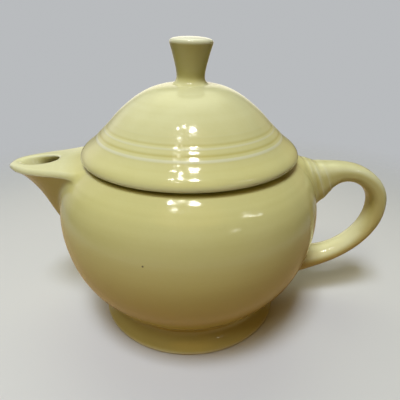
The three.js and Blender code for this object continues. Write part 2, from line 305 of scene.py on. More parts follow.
# ---------------------------------------------------------------- the pot's turned outline
FOOT = [(49.8, 0), (52.6, 0), (53.3, 0.45), (53.6, 1.3), (53.3, 2.2), (52.2, 3.3), (50.2, 5), (48.5, 7), (47.3, 9), (46.75, 10.6)]
BELLY = [(46.9, 11.7), (47.9, 13), (50.4, 15.3), (53.4, 18), (58.7, 24), (63.5, 31), (68, 40), (70.9, 50), (72.3, 59), (72.5, 66), (72.1, 72),
         (70.8, 78), (68.5, 84), (65.9, 88), (62.6, 91.5), (59.4, 94.3), (57.6, 95.6), (56.2, 96.3)]
SEAT = [(54.6, 96.6), (51.2, 96.7), (50.3, 96.3), (50, 95.6), (50, 92.4)]
INSIDE = [(52.6, 91.2), (58, 88.9), (62.6, 85), (66, 78.5), (67.7, 71), (68, 64), (67.2, 54), (64.6, 43.5), (60.2, 33), (54.8, 25), (49, 18.8),
          (43, 14.4), (36, 11.2), (24, 10), (12, 10), (0, 10)]
BASE = [(0, 4.5), (20, 4.5), (42.6, 4.5), (43.5, 5.2), (43.6, 8.5)]

# Foot and belly are one flowing line, which is parted at the waist below.
outer = spline(FOOT + BELLY, 0.2)
s_outer = lengths(outer)
sig = ramp(s_outer, [(0, 0.25), (4.0, 0.3), (7, 1.6), (20, 2.2), (40, 3.6), (118, 3.6), (s_outer[-1] - 6, 1.6), (s_outer[-1], 0.5)])
outer = even(relax(outer, sig), 0.2)
# Faint throwing rings: the potter's fingers climbed the wall in slow turns.
s_outer = lengths(outer)
from_top = s_outer[-1] - s_outer
wave = np.zeros(len(outer))
for at, amp, width in [(6.6, -0.055, 1.7), (8.7, 0.05, 1.5), (10.8, -0.06, 1.5), (12.9, 0.05, 1.6), (16.4, -0.05, 2.0), (20.8, 0.045, 2.2), (25.6, -0.03, 2.4),
                       (30.5, 0.025, 2.6), (36.5, -0.02, 2.6), (43, 0.02, 3.0), (50, -0.02, 3.0), (70.5, 0.05, 2.6), (76, -0.03, 2.4)]:
    wave += 0.55 * amp * np.exp(-(((from_top - at) / width) ** 2))
outer = outer + normals2(outer) * wave[:, None]
waist = int(np.argmin(outer[:, 0] + 1e3 * (outer[:, 1] > 20) + 1e3 * (outer[:, 1] < 4)))

# ---------------------------------------------------------------- pot body
seat = relax(spline([tuple(outer[-1])] + SEAT, 0.1), 0.22)
inner = spline(INSIDE, 0.2)
inner = relax(inner, ramp(lengths(inner), [(0, 0.5), (12, 2.0), (60, 3.5), (200, 3.5)]))
base = relax(spline(BASE, 0.1), 0.4)
base[0] = (0, base[1][1]); inner[-1] = (0, inner[-2][1])
neck = relax(spline([tuple(seat[-1]), (50.2, 91.9), (51.2, 91.5), tuple(inner[0])], 0.1), 0.3)
wall_top = np.vstack([thin(seat, 5, 1.2), thin(neck, 6, 1.2)[1:], thin(inner, 3, 3.2)[1:]])
NEAR = 13  # points either side of the waist that belly and foot share
dip = 0.07 * 0.2 * np.arange(NEAR + 1)
under = outer[waist - NEAR: waist + 1] - normals2(outer)[waist - NEAR: waist + 1] * dip[::-1, None]
lower = np.array([(43.9, 8.6), (45.4, 8.3)])
body_profile = np.vstack([thin(base, 6, 4.0), lower, under[:-1], outer[waist: waist + NEAR], thin(outer[waist + NEAR:], 2.2, 1.7), wall_top[1:]])
body_profile[0, 0] = body_profile[-1, 0] = 0.0
pot_body = lathe("pot_body_glazed", body_profile)

# ---------------------------------------------------------------- foot ring
# The ring's outer side runs on a little way under the belly's skin, so that the two meet without a line.
over = outer[waist: waist + NEAR + 1] - normals2(outer)[waist: waist + NEAR + 1] * dip[:, None]
tuck = np.vstack([thin(outer[: waist - NEAR], 3, 1.2), outer[waist - NEAR: waist], over])
ring_in = relax(spline([tuple(over[-1] + (-0.6, 0.1)), (45.4, 11.6), (44.2, 10.2), (43.95, 6.2), (44.3, 4.6), (45.6, 3.4), (48, 1.3), (49.3, 0.35), (49.8, 0.0)], 0.15), 0.3)
ring = np.vstack([tuck, thin(ring_in, 5, 1.5)])
ring[:, 1] = np.maximum(ring[:, 1], 0.0)
foot = lathe("foot_ring_glazed", np.vstack([ring, ring[:1]]), closed=True)

# ---------------------------------------------------------------- distance to the pot's outside
_line = np.vstack([[0, outer[waist][1]], outer[waist:-1:3], outer[-1:], [0, outer[-1][1] + 0.2]])


def pot_distance(r, z):
    """Signed distance from points (r, z) to the pot's outer skin, negative in the clay and the hollow."""
    shape = r.shape
    r, z = r.ravel(), z.ravel()
    a, b = _line[:-1], _line[1:]
    out = np.empty(len(r)); sign = np.empty(len(r), bool)
    for i in range(0, len(r), 20000):
        pr, pz = r[i:i + 20000, None], z[i:i + 20000, None]
        d = b - a
        t = np.clip(((pr - a[:, 0]) * d[:, 0] + (pz - a[:, 1]) * d[:, 1]) / (d * d).sum(1), 0, 1)
        dist = (pr - a[:, 0] - t * d[:, 0]) ** 2 + (pz - a[:, 1] - t * d[:, 1]) ** 2
        out[i:i + 20000] = np.sqrt(dist.min(1))
        cross = ((a[:, 1] > pz) != (b[:, 1] > pz)) & (pr < a[:, 0] + (pz - a[:, 1]) / np.where(b[:, 1] == a[:, 1], 1e-9, b[:, 1] - a[:, 1]) * (b[:, 0] - a[:, 0]))
        sign[i:i + 20000] = cross.sum(1) % 2 == 1
    return np.where(sign, -out, out).reshape(shape)


_tr, _tz = np.arange(36, 122, 0.25), np.arange(0, 122, 0.25)
_table = pot_distance(*np.meshgrid(_tr, _tz, indexing="ij"))


def pot_field(r, z):
    """pot_distance by table, with cubic steps between its entries."""
    u, v = (r - 36) / 0.25, z / 0.25
    i = np.clip(np.floor(u).astype(int), 1, len(_tr) - 3); j = np.clip(np.floor(v).astype(int), 1, len(_tz) - 3)
    f, g = np.clip(u - i, 0, 1), np.clip(v - j, 0, 1)
    w = lambda t: (-0.5 * t**3 + t**2 - 0.5 * t, 1.5 * t**3 - 2.5 * t**2 + 1, -1.5 * t**3 + 2 * t**2 + 0.5 * t, 0.5 * t**3 - 0.5 * t**2)
    wf, wg = w(f), w(g)
    return sum(wf[a] * wg[b] * _table[i + a - 1, j + b - 1] for a in range(4) for b in range(4))


SINK = 0.035     # how far a fillet's edge dips below the pot's skin
ROOT_DEPTH = 1.7  # how far a root reaches into the wall


def grid(lo, hi, h):
    n = [int(round((b - a) / h)) + 1 for a, b in zip(lo, hi)]
    return [lo[i] + h * np.arange(n[i]) for i in range(3)]


# ---------------------------------------------------------------- handle
HANDLE = [(54, 78.2, 18.2, 15.6), (60, 78.4, 16.6, 13.8), (66, 78.9, 15.2, 12.3), (70, 79.9, 13.8, 10.9), (74, 81.2, 11.6, 9.6), (79, 83.4, 8.5, 8.3), (85.5, 85.2, 6, 7.4),
          (93, 85.2, 4.9, 7.1), (100.3, 82.7, 4.9, 7), (107, 77.5, 5, 7), (111.1, 71, 5, 7), (112.3, 63.6, 5, 7), (111.1, 54.6, 5.2, 7),
          (106.7, 45.9, 5.2, 7), (99.8, 38.4, 5.1, 7.1), (91, 32.5, 5.3, 7.4), (82, 29, 6, 8.1), (73.5, 27.3, 7.1, 9.3), (66, 26.3, 8.5, 10.8),
          (56, 25.3, 10.3, 12.6)]
path = spline(HANDLE, 0.25)
s_path = lengths(path)
path = relax(path, ramp(s_path, [(0, 1.0), (28, 1.2), (40, 2.5), (s_path[-1], 2.5)]))
s_path = lengths(path)
ring_at = []
for ring_x, amp in [(70.0, 0.28), (74.0, 0.34), (78.2, 0.24)]:
    at = s_path[int(np.argmin(np.abs(path[:, 0] - ring_x) + 100 * (path[:, 1] < 60)))]
    ring_at.append(at)
    bump = amp * np.exp(-(((s_path - at) / 1.15) ** 2))
    path[:, 2] += bump * 0.55
    path[:, 3] += bump
h = 0.5
gx, gy, gz = grid((55.0, -19.0, 8.0), (119.0, 19.0, 104.0), h)
XX, ZZ = np.meshgrid(gx, gz, indexing="ij")
tangent = np.gradient(path[:, :2], axis=0)
tangent /= np.linalg.norm(tangent, axis=1)[:, None]
slope = np.gradient(path[:, 2:], s_path, axis=0)
near = np.empty(XX.size, int)
flat = np.stack([XX.ravel(), ZZ.ravel()], 1)
for i in range(0, len(flat), 8000):
    d = ((flat[i:i + 8000, None, :] - path[None, :, :2]) ** 2).sum(2)
    near[i:i + 8000] = d.argmin(1)
off = flat - path[near, :2]
along = np.clip((off * tangent[near]).sum(1), -1.0, 1.0)
across = off[:, 0] * tangent[near, 1] - off[:, 1] * tangent[near, 0]
half = path[near, 2:] + slope[near] * along[:, None]
across, ha, hb = across.reshape(XX.shape), half[:, 0].reshape(XX.shape), half[:, 1].reshape(XX.shape)
A, HA, HB, Y = across[:, None, :], ha[:, None, :], hb[:, None, :], gy[None, :, None]
power = np.interp(gz, [48, 72], [2.0, 2.8])[None, None, :]
ratio = ((np.abs(A) / HA) ** power + (np.abs(Y) / HB) ** power + 1e-9) ** (1 / power)
reach = np.sqrt(A * A + Y * Y)
handle_field = reach - reach / ratio
R = np.sqrt(gx[:, None, None] ** 2 + gy[None, :, None] ** 2) + 0 * gz[None, None, :]
Z3 = np.broadcast_to(gz[None, None, :], R.shape)
pot3 = pot_field(R, Z3)
FILLET = np.broadcast_to(np.interp(gz, [50, 66], [7.5, 4.0])[None, None, :], R.shape)
skin = smooth_min(handle_field, pot3 + SINK, FILLET)
field = np.maximum(skin, handle_field - FILLET - 0.5)
field = np.maximum(field, -(pot3 + ROOT_DEPTH))
hv, hf, hn, hb = surface(field, skin, np.array([gx[0], gy[0], gz[0]]), h)
handle = mesh_object("handle_glazed", hv, hf, hn)

# ---------------------------------------------------------------- spout
SPOUT_W = [(-98.6, 2.4), (-98.1, 4.3), (-97, 6.3), (-95, 8.5), (-92, 11.0), (-89, 13.0), (-85, 15.2), (-80, 17.3), (-74, 19.4), (-68, 21.6), (-62, 24.4), (-58, 26.2), (-54, 26.6), (-50, 24), (-45, 18), (-40, 12)]
SPOUT_TOP = [(-98.6, 91.7), (-98, 92.3), (-96, 92.9), (-92, 93.2), (-84, 93.4), (-74, 93.8), (-62, 94.5), (-56, 94.5), (-50, 93.5), (-40, 91)]
SPOUT_KEEL = [(-98.6, 89.6), (-98, 89.2), (-96, 88.2), (-91.6, 85.2), (-87.7, 81), (-84.4, 76.4), (-81, 69.6), (-78.2, 62.5), (-74.5, 54.6), (-70.5, 49.2), (-62, 46), (-50, 46), (-40, 50)]
CHANNEL = [(-98.5, 102.6, 0.8, 2.4, 0), (-95.4, 99.2, 1.8, 3.4, 0), (-92.4, 96.6, 3.6, 4.6, 0), (-88.6, 94.2, 5.6, 6.2, 0), (-84.6, 91.4, 6.8, 8.0, 0), (-80, 87.6, 7.8, 9.8, 0),
           (-76, 84.0, 8.8, 11.6, 0), (-72.5, 81, 9.6, 12.2, 0), (-69, 79, 10.2, 11.6, 0), (-62, 77.5, 10.4, 11, 0), (-50, 77.5, 10.4, 11, 0), (-40, 77.5, 10.4, 11, 0)]
h = 0.45
gx, gy, gz = grid((-101.7, -36.0, 38.2), (-41.4, 36.0, 100.3), h)


def table_at(table, x, column=1, blur=1.4):
    t = np.array(table, float)
    fine = np.arange(t[0, 0] - 6, t[-1, 0] + 6, 0.1)
    # Slopes by Catmull-Rom through the rows, then a light blur to take the corners out.
    rows = spline(t[:, [0, column]], 0.05)
    order = np.argsort(rows[:, 0])
    y = np.interp(fine, rows[order, 0], rows[order, 1])
    kern = np.exp(-0.5 * (np.arange(-60, 61) * 0.1 / blur) ** 2); kern /= kern.sum()
    soft = np.convolve(np.pad(y, 60, mode="edge"), kern, "valid")
    w = np.clip((fine - (t[0, 0] + 1.2)) / 2.5, 0, 1)
    return np.interp(x, fine, soft * w + y * (1 - w))


def section(x):
    """Half outline of the spout across x, from the middle of its top round to its keel."""
    w, top, keel = float(table_at(SPOUT_W, x)), float(table_at(SPOUT_TOP, x)), float(table_at(SPOUT_KEEL, x))
    deep = max(top - keel, 0.6)
    w = max(w, 0.6)
    rc = min(2.9, 0.6 * w, 0.42 * deep)
    kr = min(3.5, 0.45 * w)
    y = [0.0]; z = [top + 0.04 * w]
    for u in np.linspace(0.25, 1, 4):
        y.append(u * (w - rc)); z.append(top + 0.04 * w * (1 - u * u))
    for u in np.linspace(0, math.pi / 2, 7)[1:]:
        y.append(w - rc + rc * math.sin(u)); z.append(top - rc + rc * math.cos(u))
    s0 = rc / deep
    for s in np.linspace(s0, 1, 16)[1:]:
        t = (s - s0) / (1 - s0)
        fl = kr * 0.8 + (w - kr * 0.8) * (1 - t) ** 0.92 * (1 - 0.12 * math.sin(math.pi * t))
        y.append(fl * math.sqrt(max(0.0, 1 - max(0.0, (t - 0.86) / 0.14) ** 2.2))); z.append(top - s * deep)
    y[-1] = 0.0
    return np.array(y), np.array(z)


GY, GZ = np.meshgrid(gy, gz, indexing="ij")
py, pz = np.abs(GY).ravel()[:, None], GZ.ravel()[:, None]
half_rows = gy <= 1e-9
py_h, pz_h = py.reshape(GY.shape)[half_rows].ravel()[:, None], pz.reshape(GY.shape)[half_rows].ravel()[:, None]
spout_field = np.empty((len(gx), len(gy), len(gz)))
for i, x in enumerate(gx):
    sy, sz = section(max(x, -98.5))
    d = np.stack([np.diff(sy), np.diff(sz)], 1)
    ok = (d * d).sum(1) > 1e-9
    ay, az, dy, dz = sy[:-1][ok], sz[:-1][ok], d[ok, 0], d[ok, 1]
    t = np.clip(((py_h - ay) * dy + (pz_h - az) * dz) / (dy * dy + dz * dz), 0, 1)
    dist = np.sqrt(((py_h - ay - t * dy) ** 2 + (pz_h - az - t * dz) ** 2).min(1))
    cross = ((az > pz_h) != (az + dz > pz_h)) & (py_h < ay + (pz_h - az) / np.where(np.abs(dz) < 1e-9, 1e-9, dz) * dy)
    inside = cross.sum(1) % 2 == 1
    v = np.where(inside, -dist, dist).reshape(half_rows.sum(), len(gz))
    if x < -98.5:
        v = np.hypot(np.maximum(v, 0), -98.5 - x)
    full = np.empty((len(gy), len(gz)))
    full[half_rows] = v
    mirror = half_rows.sum() - (1 if abs(gy[half_rows][-1]) < 1e-6 else 0)
    full[~half_rows] = v[:mirror][::-1]
    spout_field[i] = full
steep = np.abs(np.gradient(spout_field, h, axis=0))
spout_field = spout_field / np.sqrt(1 + np.minimum(steep, 3) ** 2)
cz, cw, ch = (table_at(CHANNEL, gx, k, 1.6) for k in (1, 2, 3))
ey = np.abs(gy)[None, :, None] / cw[:, None, None]
ez = (gz[None, None, :] - cz[:, None, None]) / ch[:, None, None]
er = np.sqrt(ey**2 + ez**2 + 1e-9)
reach = np.sqrt(gy[None, :, None] ** 2 + (gz[None, None, :] - cz[:, None, None]) ** 2)
channel_field = reach - reach / er
steep = np.abs(np.gradient(channel_field, h, axis=0))
channel_field = channel_field / np.sqrt(1 + np.minimum(steep, 3) ** 2)
R = np.sqrt(gx[:, None, None] ** 2 + gy[None, :, None] ** 2) + 0 * gz[None, None, :]
Z3 = np.broadcast_to(gz[None, None, :], R.shape)
pot3 = pot_field(R, Z3)
FILLET = 6.0
skin = smooth_min(spout_field, pot3 + SINK, FILLET)
skin = smooth_max(skin, -channel_field, 4.4)
field = np.maximum(skin, spout_field - FILLET - 0.5)
field = np.maximum(field, -(pot3 + ROOT_DEPTH))
# The spout stops at the rim: nothing of it reaches over the seat or into the mouth.
field = np.maximum(field, outer[-1][0] + 0.05 - R)
sv, sf, sn, sb = surface(field, skin, np.array([gx[0], gy[0], gz[0]]), h)
spout = mesh_object("spout_glazed", sv, sf, sn)

# ---------------------------------------------------------------- strainer holes in the wall behind the spout
holes = []
for y, z in [(0, 78), (0, 84.5), (0, 71.5), (5.6, 81.2), (-5.6, 81.2), (5.6, 74.8), (-5.6, 74.8)]:
    n = 40
    a = np.arange(n) * 2 * math.pi / n
    prof = [(-84.0, 2.1), (-50.0, 2.1)]
    vv, ff = [], []
    for x, r in prof:
        vv += [(x, y + r * math.cos(t), z + r * math.sin(t)) for t in a]
    ff += [tuple((k, (k + 1) % n, n + (k + 1) % n, n + k)) for k in range(n)]
    ff += [tuple(range(n))[::-1], tuple(range(n, 2 * n))]
    holes.append((vv, ff))
verts, faces = [], []
for vv, ff in holes:
    o = len(verts)
    verts += vv
    faces += [tuple(o + k for k in f) for f in ff]
cutter = mesh_object("strainer_cutter", np.array(verts, float), faces)
cut = pot_body.modifiers.new("strainer", "BOOLEAN")
cut.operation, cut.solver, cut.object = "DIFFERENCE", "EXACT", cutter
dg = bpy.context.evaluated_depsgraph_get()
cut_mesh = bpy.data.meshes.new_from_object(pot_body.evaluated_get(dg), depsgraph=dg)
pot_body.modifiers.clear()
pot_body.data = cut_mesh
bpy.data.objects.remove(cutter)

# ---------------------------------------------------------------- lid
# Slope of the lid's skirt against radius: a steady cone, a small shelf, the cone again, then the flare of the brim.
SKIRT = [(34.8, -0.830), (36.2, -0.875), (37.6, -0.945), (38.6, -0.995), (39.6, -1.035), (41.2, -1.060), (43.2, -1.050), (44.6, -1.020), (45.2, -0.905), (45.8, -0.825), (46.4, -0.905),
         (47.0, -1.020), (49.4, -1.020), (50.0, -0.965), (50.7, -0.910), (51.4, -0.860), (52.0, -0.820), (52.8, -0.760), (54.4, -0.715), (55.4, -0.750), (56.0, -0.840), (56.5, -1.000)]
_r = np.arange(34.8, 56.51, 0.2)
_z = 122.98 + np.concatenate([[0], np.cumsum(0.1 * (ramp(_r, SKIRT)[1:] + ramp(_r, SKIRT)[:-1]))])
DOME = [(0, 134.4), (6, 134.4), (9.2, 134.35), (14, 133.8), (19.9, 132.2), (24.8, 130), (29.6, 127), *zip(_r[::3], _z[::3]), (57.3, _z[-1] - 0.95), (57.9, _z[-1] - 1.8), (58.25, _z[-1] - 2.7),
        (58.2, 98.9), (57.4, 98.35), (56.0, 98.0), (54.5, 97.6), (52.5, 97.1), (49, 97.05), (45.9, 97.05), (45.6, 97.6),
        (46, 99.6), (46, 102.4), (43, 107.2), (39, 111.4), (35.2, 115.2), (31, 118.9), (26.6, 122.4), (21.5, 125.8), (15, 128.4), (8, 129.8), (0, 130.2)]
d_line = spline(DOME, 0.15)
s_d = lengths(d_line)
skirt = s_d[int(np.argmin(np.hypot(d_line[:, 0] - 34.8, d_line[:, 1] - 122.98)))]
top_end = s_d[int(np.argmin(np.hypot(d_line[:, 0] - 56.5, d_line[:, 1] - _z[-1])))]
under = s_d[int(np.argmin(np.hypot(d_line[:, 0] - 46, d_line[:, 1] - 102.4)))]
d_line = relax(d_line, ramp(s_d, [(0, 2.5), (skirt - 2, 2.5), (skirt + 3, 0.6), (top_end, 0.5), (under, 0.5), (under + 8, 1.8), (s_d[-1], 2.5)]))
d_line = even(d_line, 0.15)
s_d = lengths(d_line)
top_end = s_d[int(np.argmin(np.hypot(d_line[:, 0] - 57.0, d_line[:, 1] - 101.8)))]
on_top = s_d < top_end
wave = np.zeros(len(d_line))
for r_at, amp, width in [(40.6, 0.03, 0.9), (43.5, -0.045, 0.9), (44.7, 0.05, 0.7), (47.3, -0.06, 0.8), (49.0, 0.09, 0.9)]:
    at = s_d[int(np.argmin(np.abs(d_line[:, 0] - r_at) + 1e3 * (~on_top)))]
    wave += amp * np.exp(-(((s_d - at) / width) ** 2)) * on_top
# the profile runs clockwise here (from the top outward), so its outward side is the other one
d_line = d_line - normals2(d_line) * wave[:, None]
d_line[0, 0] = d_line[-1, 0] = 0.0
dome_profile = thin(d_line, 2.2, 1.6)[::-1]
dome_profile[0, 0] = dome_profile[-1, 0] = 0.0
dome = lathe("lid_dome_glazed", dome_profile, centre=(LID_X, 0))
dome_top = d_line[s_d < top_end]


def dome_height(r):
    return np.interp(r, dome_top[:, 0], dome_top[:, 1])


# vent hole
n = 32
a = np.arange(n) * 2 * math.pi / n
vv = [(LID_X + 1.5 * math.cos(t), 27.5 + 1.5 * math.sin(t), zz) for zz in (110.0, 140.0) for t in a]
ff = [(k, (k + 1) % n, n + (k + 1) % n, n + k) for k in range(n)] + [tuple(range(n))[::-1], tuple(range(n, 2 * n))]
cutter = mesh_object("vent_cutter", np.array(vv, float), ff)
cut = dome.modifiers.new("vent", "BOOLEAN")
cut.operation, cut.solver, cut.object = "DIFFERENCE", "EXACT", cutter
dg = bpy.context.evaluated_depsgraph_get()
cut_mesh = bpy.data.meshes.new_from_object(dome.evaluated_get(dg), depsgraph=dg)
dome.modifiers.clear()
dome.data = cut_mesh
bpy.data.objects.remove(cutter)

# locating flange
FLANGE = [(46.0, 97.3), (46.0, 91.0), (46.4, 90.1), (47.3, 89.8), (48.2, 90.0), (48.8, 90.8), (48.9, 92.2), (48.9, 96.2), (49.3, 97.0), (49.2, 97.4)]
fl = np.array(FLANGE)
f_line = relax(spline(FLANGE, 0.1), 0.25)
f_prof = thin(f_line, 6, 1.2)
flange = lathe("lid_flange_glazed", np.vstack([f_prof, f_prof[:1]]), centre=(LID_X, 0), closed=True)

# knob
KNOB = [(7.25, 3.0), (7.4, 4.9), (7.9, 7.7), (8.8, 11.2), (9.8, 15), (10.6, 17.5), (11, 18.7), (10.9, 19.5), (10.3, 20.3), (7.8, 21.1), (4, 21.6), (0, 21.7)]
LEAN = math.radians(1.5)
KNOB_FOOT = np.array([LID_X + 0.6, 0.0, 134.7 + 0.2225])
k_line = spline([(8.0, 0.2), (7.4, 1.6)] + KNOB, 0.1)
s_k = lengths(k_line)
k_line = relax(k_line, ramp(s_k, [(0, 0.6), (14, 1.2), (17, 0.7), (20, 0.4), (24, 0.5), (s_k[-1], 1.5)]))
k_line = k_line[k_line[:, 1] > 2.6] if k_line[0, 1] < 2.6 else k_line
k_line[-1, 0] = 0.0
k_prof = thin(k_line, 2.5, 0.8)
k_prof[-1, 0] = 0.0
steps = 144
az = np.arange(steps) * 2 * math.pi / steps
cl, sl_ = math.cos(LEAN), math.sin(LEAN)


def knob_place(v):
    x, y, z = v[:, 0], v[:, 1], v[:, 2]
    return np.stack([x * cl + z * sl_ + KNOB_FOOT[0], y + KNOB_FOOT[1], -x * sl_ + z * cl + KNOB_FOOT[2]], 1)


rings_ = []
first = k_prof[0]
tan0 = k_prof[1] - k_prof[0]
tan0 /= np.linalg.norm(tan0)
for u in az:  # fillet from the knob's waist out onto the dome
    rad = np.array([math.cos(u), math.sin(u), 0])
    p0 = knob_place(np.array([[first[0] * rad[0], first[0] * rad[1], first[1]]]))[0]
    t0 = knob_place(np.array([[(first[0] - tan0[0]) * rad[0], (first[0] - tan0[0]) * rad[1], first[1] - tan0[1]]]))[0] - p0
    q = KNOB_FOOT[:2] + rad[:2] * 10.4
    rr = math.hypot(q[0] - LID_X, q[1])
    p1 = np.array([q[0], q[1], dome_height(rr) - 0.02])
    rr2 = rr + 0.5
    q2 = q + rad[:2] * 0.5
    t1 = np.array([q2[0], q2[1], dome_height(math.hypot(q2[0] - LID_X, q2[1])) - 0.03]) - p1
    t1 /= np.linalg.norm(t1)
    m = 1.66 * 3.3
    col = []
    for w in np.linspace(0, 1, 11)[::-1]:
        col.append((2 * w**3 - 3 * w**2 + 1) * p0 + (w**3 - 2 * w**2 + w) * m * t0 + (-2 * w**3 + 3 * w**2) * p1 + (w**3 - w**2) * m * t1)
    edge = [p1 + t1 * 0.9 + np.array([0, 0, -0.06])]
    sunk = [np.array([KNOB_FOOT[0] + rad[0] * 9.5, KNOB_FOOT[1] + rad[1] * 9.5, 133.2]), ]
    rings_.append([*sunk, *edge, *col])
cols = np.array(rings_)  # steps x rows x 3
low_rows = [cols[:, i] for i in range(cols.shape[1])]
up_rows = []
for r, z in k_prof[1:-1]:
    up_rows.append(knob_place(np.stack([r * np.cos(az), r * np.sin(az), np.full(steps, z)], 1)))
all_rows = low_rows + up_rows
verts = np.vstack(all_rows)
faces = []
for i in range(len(all_rows) - 1):
    o, p = i * steps, (i + 1) * steps
    for j in range(steps):
        k = (j + 1) % steps
        faces.append((o + j, o + k, p + k, p + j))
tip = len(verts)
verts = np.vstack([verts, knob_place(np.array([[0, 0, k_prof[-1][1]]])), [[KNOB_FOOT[0], 0, 133.2]]])
o = (len(all_rows) - 1) * steps
for j in range(steps):
    k = (j + 1) % steps
    faces.append((o + j, o + k, tip))
    faces.append((k, j, tip + 1))
knob = mesh_object("lid_knob_glazed", verts, faces)

for ob in (pot_body, dome):
    ob.data.shade_smooth()
    ob.data.set_sharp_from_angle(angle=math.radians(42))
curvature(pot_body, 1); curvature(foot, 1); curvature(dome, 1); curvature(flange, 1); curvature(knob, 1)
keep_bend(spout, sb)
# Glaze gathers between the rings at the handle's upper root, and runs off them.
ring_dist = np.hypot(hv[:, None, 0] - path[None, ::2, 0], hv[:, None, 2] - path[None, ::2, 1])
ring_s = s_path[::2][ring_dist.argmin(1)]
for at in ring_at:
    hb = hb + 0.09 * np.exp(-(((ring_s - at) / 1.3) ** 2)) - 0.09 * np.exp(-(((ring_s - at - 2.1) / 1.2) ** 2))
keep_bend(handle, hb)
# Painted shade in the spout's bore: where the channel dives under the rim the glaze is drawn near black.
bore_shade, _ = sample(channel_field, np.array([gx[0], gy[0], gz[0]]), h, sv)
bore_shade = np.clip(1.6 - np.abs(bore_shade) / 1.0, 0, 1) * np.clip((92.0 - sv[:, 2]) / 3.0, 0, 1) * np.clip((sv[:, 0] + 87.0) / 6.0, 0, 1)
at = spout.data.attributes.new("bore_shade", "FLOAT", "POINT")
at.data.foreach_set("value", bore_shade.astype(np.float32))
for ob, v in ((spout, sv), (handle, hv)):
    away = np.clip(pot_field(np.hypot(v[:, 0], v[:, 1]), v[:, 2]) / 7.0, 0, 1)
    at = ob.data.attributes.new("free", "FLOAT", "POINT")
    at.data.foreach_set("value", (away * away * (3 - 2 * away)).astype(np.float32))
# Glaze runs off the lid's ridges and gathers in the lines between them.
me = dome.data
co = np.zeros(len(me.vertices) * 3); me.vertices.foreach_get("co", co); co = co.reshape(-1, 3) * 1000 - AXIS
dr = np.hypot(co[:, 0] - LID_X, co[:, 1])
b = np.zeros(len(dr), np.float32); me.attributes["bend"].data.foreach_get("value", b)
outside = co[:, 2] > dome_height(dr) - 0.8
for r_at, gain, width in [(30.5, -0.04, 0.9), (33.5, -0.05, 1.0), (36.6, -0.06, 0.9), (38.4, 0.08, 0.7), (39.6, -0.06, 0.5), (40.7, 0.12, 0.7), (42.1, 0.05, 0.5), (43.4, -0.13, 0.9), (44.8, 0.26, 0.75), (47.1, -0.17, 1.1), (49.1, 0.34, 0.85),
                          (51.0, 0.06, 0.8), (53.0, -0.05, 1.2)]:
    b += (gain * np.exp(-(((dr - r_at) / width) ** 2)) * outside).astype(np.float32)
me.attributes["bend"].data.foreach_set("value", b)

# ---------------------------------------------------------------- glaze


class Nodes:
    """Short hand for building a node tree."""

    def __init__(self, tree):
        self.tree = tree
        tree.nodes.clear()

    def add(self, kind, inputs=None, **props):
        n = self.tree.nodes.new(kind)
        for k, v in props.items():
            setattr(n, k, v)
        for k, v in (inputs or {}).items():
            if isinstance(v, bpy.types.NodeSocket):
                self.tree.links.new(v, n.inputs[k])
            else:
                n.inputs[k].default_value = v
        return n

    def math(self, op, a, b=0.0, c=None, clamp=False):
        n = self.add("ShaderNodeMath", {0: a, 1: b}, operation=op, use_clamp=clamp)
        if c is not None:
            if isinstance(c, bpy.types.NodeSocket):
                self.tree.links.new(c, n.inputs[2])
            else:
                n.inputs[2].default_value = c
        return n.outputs[0]

    def span(self, value, a, b, c=0.0, d=1.0, smooth=True):
        n = self.add("ShaderNodeMapRange", {"Value": value, "From Min": a, "From Max": b, "To Min": c, "To Max": d}, interpolation_type="SMOOTHSTEP" if smooth else "LINEAR")
        return n.outputs["Result"]

    def mix(self, fac, a, b, mode="MIX"):
        n = self.add("ShaderNodeMix", data_type="RGBA", blend_type=mode)
        for i, v in ((0, fac), (6, a), (7, b)):
            if isinstance(v, bpy.types.NodeSocket):
                self.tree.links.new(v, n.inputs[i])
            else:
                n.inputs[i].default_value = v if i == 0 or len(v) == 4 else (*v, 1)
        return n.outputs[2]


PALE = (0.720, 0.675, 0.300)    # where the glaze lies at its usual depth
PAINTED_TOP_LIGHT = (0.850, 0.835, 0.500)   # painted top light: upward faces of lid, spout and handle drawn paler, as where the light from above falls
DEEP = (0.560, 0.485, 0.120)    # where it has pooled
THIN = (0.790, 0.775, 0.540)    # where it has run off a crest and the white clay shows through
LOW_GLAZE_AND_SHADE = (0.500, 0.370, 0.085)     # darker, warmer tone low on the belly: partly heavier glaze, partly painted shade of the underside
CLAY = (0.70, 0.62, 0.50)


